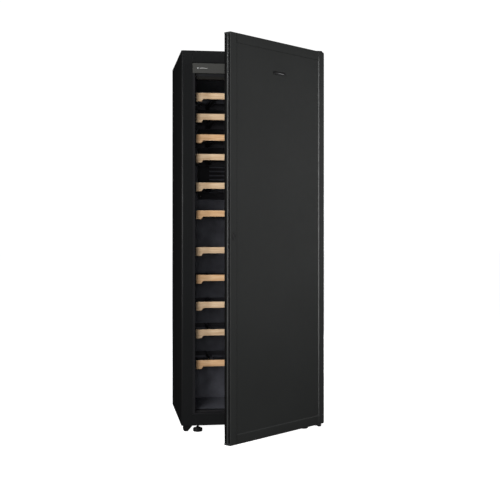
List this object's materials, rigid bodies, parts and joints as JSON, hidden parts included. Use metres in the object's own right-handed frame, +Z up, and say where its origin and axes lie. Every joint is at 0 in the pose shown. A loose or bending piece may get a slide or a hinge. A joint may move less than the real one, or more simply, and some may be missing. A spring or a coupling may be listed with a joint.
{
  "type": "wine cooler",
  "caption": "Tall free-standing wine cooler with one solid door open on its right-hand hinges, sliding wood-fronted shelves and a bottle store below.",
  "frame": {"origin": "on the floor, at the centre of the rectangle on which the four feet stand", "axes": "+Z up, -Y out of the front opening, +X to the right when facing the front; the door's hinges are on +X"},
  "size_m": [0.6888, 1.0972, 1.8327],
  "materials": {
    "cabinet_paint": "satin",
    "foam": "matte",
    "liner_sheet": "satin",
    "runner_plastic": "matte",
    "throat_plastic": "satin",
    "fascia_grey": "satin",
    "display_glass": "gloss",
    "button_plastic": "satin",
    "diffuser": "satin",
    "duct_plastic": "matte",
    "fan_plastic": "satin",
    "machine_paint": "satin",
    "inlet_plastic": "matte",
    "hinge_steel": "satin",
    "cap_plastic": "satin",
    "foot_plastic": "matte",
    "screw_steel": "satin",
    "door_profile": "satin",
    "door_paint": "satin",
    "door_liner_plastic": "satin",
    "gasket_rubber": "matte",
    "bush_plastic": "satin",
    "lock_metal": "satin",
    "badge_metal": "satin",
    "beech": "satin",
    "tray_plastic": "matte"
  },
  "bodies": {
    "cabinet": {"casing_sides": "cabinet_paint", "casing_top": "cabinet_paint", "casing_back": "cabinet_paint", "casing_base": "cabinet_paint", "insulation_foam": "foam", "liner_sides": "liner_sheet", "liner_back": "liner_sheet", "liner_ceiling": "liner_sheet", "liner_floor": "liner_sheet", "shelf_runners": "runner_plastic", "throat_frame": "throat_plastic", "control_fascia": "fascia_grey", "display_window": "display_glass", "light_diffuser": "diffuser", "evaporator_cover": "duct_plastic", "compressor": "machine_paint", "condenser": "machine_paint", "power_inlet": "inlet_plastic", "hinge_brackets": "hinge_steel", "hinge_cap": "cap_plastic", "corner_skid": "foot_plastic", "rear_feet": "foot_plastic", "screws": "screw_steel"},
    "door": {"door_frame": "door_profile", "door_skin": "door_paint", "door_foam": "foam", "door_liner": "door_liner_plastic", "door_gasket": "gasket_rubber", "door_end_caps": "cap_plastic", "hinge_bushes": "bush_plastic", "lock_escutcheon": "lock_metal", "badge": "badge_metal"},
    "lock": {"lock_cylinder": "lock_metal"},
    "fan": {"fan_rotor": "fan_plastic"},
    "down_button": {"button_down": "button_plastic"},
    "up_button": {"button_up": "button_plastic"},
    "left_foot": {"levelling_foot_left": "foot_plastic"},
    "right_foot": {"levelling_foot_right": "foot_plastic"},
    "shelf_01": {"shelf_front_01": "beech", "shelf_tray_01": "tray_plastic"},
    "shelf_02": {"shelf_front_02": "beech", "shelf_tray_02": "tray_plastic"},
    "shelf_03": {"shelf_front_03": "beech", "shelf_tray_03": "tray_plastic"},
    "shelf_04": {"shelf_front_04": "beech", "shelf_tray_04": "tray_plastic"},
    "shelf_05": {"shelf_front_05": "beech", "shelf_tray_05": "tray_plastic"},
    "shelf_06": {"shelf_front_06": "beech", "shelf_tray_06": "tray_plastic"},
    "shelf_07": {"shelf_front_07": "beech", "shelf_tray_07": "tray_plastic"},
    "shelf_08": {"shelf_front_08": "beech", "shelf_tray_08": "tray_plastic"},
    "shelf_09": {"shelf_front_09": "beech", "shelf_tray_09": "tray_plastic"},
    "shelf_10": {"shelf_front_10": "beech", "shelf_tray_10": "tray_plastic"},
    "shelf_11": {"shelf_front_11": "beech", "shelf_tray_11": "tray_plastic"}
  },
  "joints": [
    {"name": "door_hinge", "type": "hinge", "parent": "cabinet", "child": "door", "pos_m": [0.3257, -0.329, 0.9], "axis": [0, 0, 1], "range_deg": [-41, 75]},
    {"name": "lock_turn", "type": "hinge", "parent": "door", "child": "lock", "pos_m": [-0.14981, -0.7662, 0.941], "axis": [0.6561, -0.7547, 0], "range_deg": [0, 90]},
    {"name": "fan_spin", "type": "hinge", "parent": "cabinet", "child": "fan", "pos_m": [0, 0.23, 1.45], "axis": [0, -1, 0], "continuous": true},
    {"name": "down_button_press", "type": "slide", "parent": "cabinet", "child": "down_button", "axis": [0, 1, 0], "range_m": [0, 0.001], "stiffness_N_per_m": 600, "springref_m": -0.001},
    {"name": "up_button_press", "type": "slide", "parent": "cabinet", "child": "up_button", "axis": [0, 1, 0], "range_m": [0, 0.001], "stiffness_N_per_m": 600, "springref_m": -0.001},
    {"name": "left_foot_turn", "type": "hinge", "parent": "cabinet", "child": "left_foot", "pos_m": [-0.259, -0.275, 0.01], "axis": [0, 0, 1], "continuous": true},
    {"name": "right_foot_turn", "type": "hinge", "parent": "cabinet", "child": "right_foot", "pos_m": [0.259, -0.275, 0.01], "axis": [0, 0, 1], "continuous": true},
    {"name": "shelf_slide_01", "type": "slide", "parent": "cabinet", "child": "shelf_01", "axis": [0, -1, 0], "range_m": [0, 0.1]},
    {"name": "shelf_slide_02", "type": "slide", "parent": "cabinet", "child": "shelf_02", "axis": [0, -1, 0], "range_m": [0, 0.1]},
    {"name": "shelf_slide_03", "type": "slide", "parent": "cabinet", "child": "shelf_03", "axis": [0, -1, 0], "range_m": [0, 0.1]},
    {"name": "shelf_slide_04", "type": "slide", "parent": "cabinet", "child": "shelf_04", "axis": [0, -1, 0], "range_m": [0, 0.1]},
    {"name": "shelf_slide_05", "type": "slide", "parent": "cabinet", "child": "shelf_05", "axis": [0, -1, 0], "range_m": [0, 0.1]},
    {"name": "shelf_slide_06", "type": "slide", "parent": "cabinet", "child": "shelf_06", "axis": [0, -1, 0], "range_m": [0, 0.1]},
    {"name": "shelf_slide_07", "type": "slide", "parent": "cabinet", "child": "shelf_07", "axis": [0, -1, 0], "range_m": [0, 0.1]},
    {"name": "shelf_slide_08", "type": "slide", "parent": "cabinet", "child": "shelf_08", "axis": [0, -1, 0], "range_m": [0, 0.1]},
    {"name": "shelf_slide_09", "type": "slide", "parent": "cabinet", "child": "shelf_09", "axis": [0, -1, 0], "range_m": [0, 0.1]},
    {"name": "shelf_slide_10", "type": "slide", "parent": "cabinet", "child": "shelf_10", "axis": [0, -1, 0], "range_m": [0, 0.1]},
    {"name": "shelf_slide_11", "type": "slide", "parent": "cabinet", "child": "shelf_11", "axis": [0, -1, 0], "range_m": [0, 0.1]}
  ]
}
